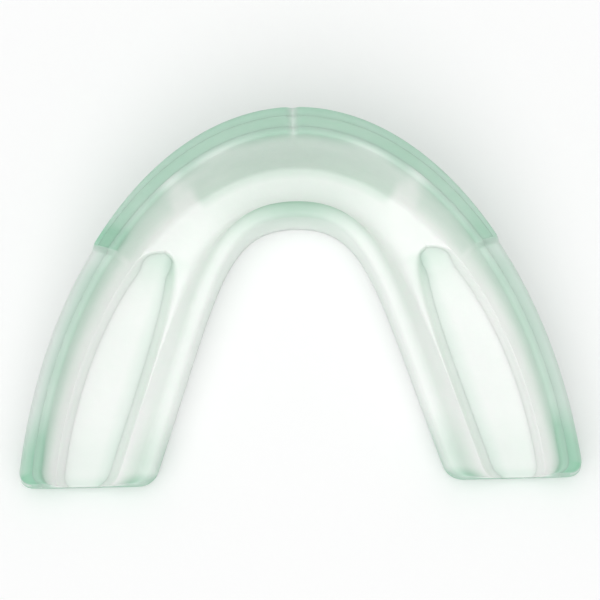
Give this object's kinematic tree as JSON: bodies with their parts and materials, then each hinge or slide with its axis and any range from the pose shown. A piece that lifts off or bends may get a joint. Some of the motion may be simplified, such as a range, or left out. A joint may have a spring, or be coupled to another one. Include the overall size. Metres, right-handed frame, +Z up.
{
  "type": "sports mouth guard",
  "caption": "U-shaped soft mouth guard for the upper teeth, open channel on top, with a tall flared front wall, low tongue-side wall and recessed molar floors.",
  "frame": {"origin": "middle of the bounding box in X and Y, on the flat underside", "axes": "+Z up out of the tooth channel, +Y towards the lip side of the front, +X across the arch; the two halves mirror about X = 0"},
  "size_m": [0.0698, 0.0444, 0.018],
  "materials": {
    "tinted_shell": "soft satin translucent EVA, pale green tint",
    "tinted_shield": "soft satin translucent EVA, deeper green tint",
    "clear_liner": "soft satin translucent EVA, nearly clear",
    "clear_pad": "soft satin translucent EVA, nearly clear"
  },
  "bodies": {
    "root": {"outer_shell": "tinted_shell", "front_shield": "tinted_shield", "fit_liner": "clear_liner", "molar_pad_right": "clear_pad", "molar_pad_left": "clear_pad"}
  },
  "joints": []
}
